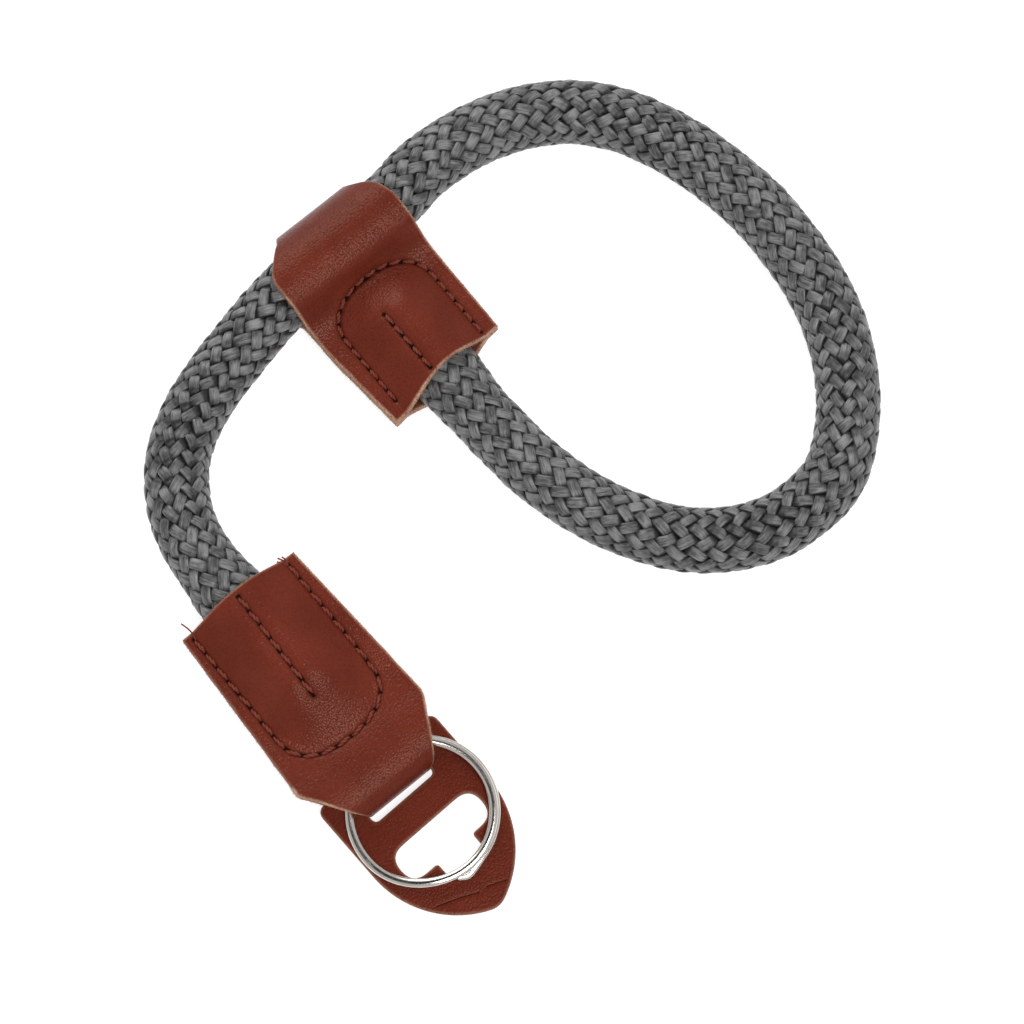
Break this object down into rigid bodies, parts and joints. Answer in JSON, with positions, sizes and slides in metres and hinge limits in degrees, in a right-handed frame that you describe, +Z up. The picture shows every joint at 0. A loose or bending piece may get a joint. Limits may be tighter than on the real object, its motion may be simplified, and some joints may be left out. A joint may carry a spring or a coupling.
{
  "type": "camera wrist strap",
  "caption": "Rope wrist strap: a braided loop closed by a sewn leather keeper, and a sewn leather tab that holds a split ring and a leaf-shaped guard.",
  "frame": {"origin": "middle of the footprint, on the floor that the strap lies on", "axes": "+X from the end tab across to the wrist loop, +Y from the end tab's fold towards its mouth, +Z up"},
  "size_m": [0.1226, 0.105, 0.0133],
  "materials": {
    "rope": "matt grey braided synthetic rope",
    "leather": "smooth red-brown leather with a low sheen and raw cut edges",
    "ring": "bright nickel plate"
  },
  "bodies": {
    "strap": {"rope": "rope", "end_tab": "leather", "keeper": "leather", "guard": "leather"},
    "ring": {"split_ring": "ring"}
  },
  "joints": [
    {"name": "ring_turn", "type": "hinge", "parent": "strap", "child": "ring", "pos_m": [-0.0475, -0.03384, 0.00376], "axis": [0, -0.061, 0.9981], "continuous": true}
  ]
}
